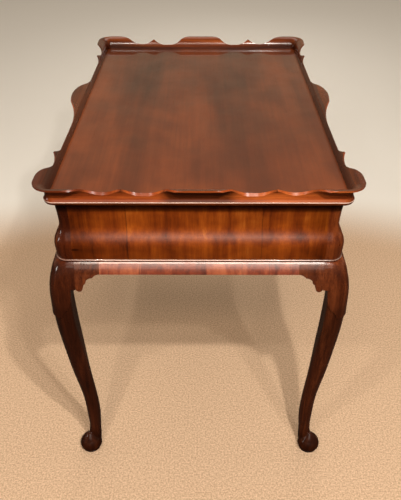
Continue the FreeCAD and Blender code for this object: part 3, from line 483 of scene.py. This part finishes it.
# Each light's name, place, aim, width and height in metres, how bright its face is, its
# colour, and, for those that the polish doesn't mirror, the spread of its beam in degrees.
LIGHTS = [
    ("right_lamp", (0.33, -1.14, 1.65), (0.0, -0.2, 0.5), 0.045, 0.045, 2500.0, WARM),
    ("left_lamp", (-0.42, -1.14, 1.65), (0.0, -0.2, 0.5), 0.045, 0.045, 790.0, WARM),
    ("far_lamp", (1.20, -2.70, 3.40), (0.0, 0.0, 0.5), 0.12, 0.12, 670.0, WARM),
    ("front_strip", (0.0, -2.04, 2.31), (0.0, -0.4, 0.55), 1.5, 0.30, 18.0, WARMER),
    ("front_wall", (0.0, -2.45, 1.55), (0.0, -0.4, 0.55), 1.6, 0.9, 1.5, (1.0, 0.85, 0.72)),
    ("rear_fill", (0.5, 4.8, 1.8), (0.0, 0.4, 0.4), 1.5, 1.0, 1.5, WARM, 60),
    ("right_fill", (2.7, 0.3, 0.9), (0.2, 0.1, 0.5), 1.4, 0.9, 0.6, WARM, 80),
    ("left_fill", (-2.7, 0.3, 0.9), (-0.2, 0.1, 0.5), 1.4, 0.9, 0.35, WARM, 80),
    ("side_lamp", (-2.2, -0.95, 0.75), (-0.2, -0.4, 0.6), 0.12, 0.5, 15.0, WARM),
    ("ceiling", (0.0, 2.6, 4.2), (0.0, 2.2, 0.0), 4.0, 2.0, 2.6, (1.0, 0.94, 0.86)),
]


def soft_light(name, place, aim, width, height, radiance, colour, spread=None):
    """A flat softbox; its power follows from how bright its face is."""
    lamp = bpy.data.lights.new(name, "AREA")
    lamp.shape = "RECTANGLE"
    lamp.size, lamp.size_y = width, height
    lamp.energy = radiance * math.pi * width * height
    lamp.color = colour
    lamp.spread = math.radians(spread or 180)
    stand = bpy.data.objects.new(name, lamp)
    bpy.context.scene.collection.objects.link(stand)
    stand.location = place
    stand.visible_glossy = spread is None
    away = stand.location - type(stand.location)(aim)
    stand.rotation_euler = away.to_track_quat("Z", "Y").to_euler()


def room():
    """A dim room with a paler wall behind the table and a dark floor beyond its own."""
    sky = bpy.data.worlds.new("room")
    sky.use_nodes = True
    tree = sky.node_tree
    place = tree.nodes.new("ShaderNodeTexCoord")
    parts = tree.nodes.new("ShaderNodeSeparateXYZ")
    tree.links.new(place.outputs["Generated"], parts.inputs[0])
    colour = (0.12, 0.10, 0.08)
    for axis, low, high, beyond in (("Y", -0.2, 0.9, (0.39, 0.305, 0.205)),
                                    ("Z", -0.03, -0.11, (0.042, 0.027, 0.018))):
        share = tree.nodes.new("ShaderNodeMapRange")
        shade = tree.nodes.new("ShaderNodeMix")
        shade.data_type = "RGBA"
        tree.links.new(parts.outputs[axis], share.inputs["Value"])
        share.inputs["From Min"].default_value = low
        share.inputs["From Max"].default_value = high
        tree.links.new(share.outputs[0], shade.inputs[0])
        feed(tree, shade.inputs[6], colour)
        feed(tree, shade.inputs[7], beyond)
        colour = Wire(tree, shade.outputs[2])
    feed(tree, tree.nodes["Background"].inputs["Color"], colour)
    bpy.context.scene.world = sky


SENSOR = 36.0           # millimetres
PICTURE_WIDTH = 401     # pixels, as are the next two
FOCAL_LENGTH = 583.15
OPTICAL_MIDDLE = 202.08
DOWNWARDS = 36.48       # degrees, as is the next
LEFTWARDS = 0.16
EYE = (0.0079, -1.24306, 1.2036)  # metres


def camera():
    lens = bpy.data.cameras.new("camera")
    lens.sensor_fit = "HORIZONTAL"
    lens.sensor_width = SENSOR
    lens.lens = FOCAL_LENGTH / PICTURE_WIDTH * SENSOR
    lens.shift_x = -(OPTICAL_MIDDLE - PICTURE_WIDTH / 2) / PICTURE_WIDTH
    stand = bpy.data.objects.new("camera", lens)
    bpy.context.scene.collection.objects.link(stand)
    stand.location = EYE
    stand.rotation_euler = (math.radians(90 - DOWNWARDS), 0.0, math.radians(LEFTWARDS))
    bpy.context.scene.camera = stand


floor()
for light in LIGHTS:
    soft_light(*light)
room()
camera()
bpy.context.scene.view_settings.view_transform = "Standard"
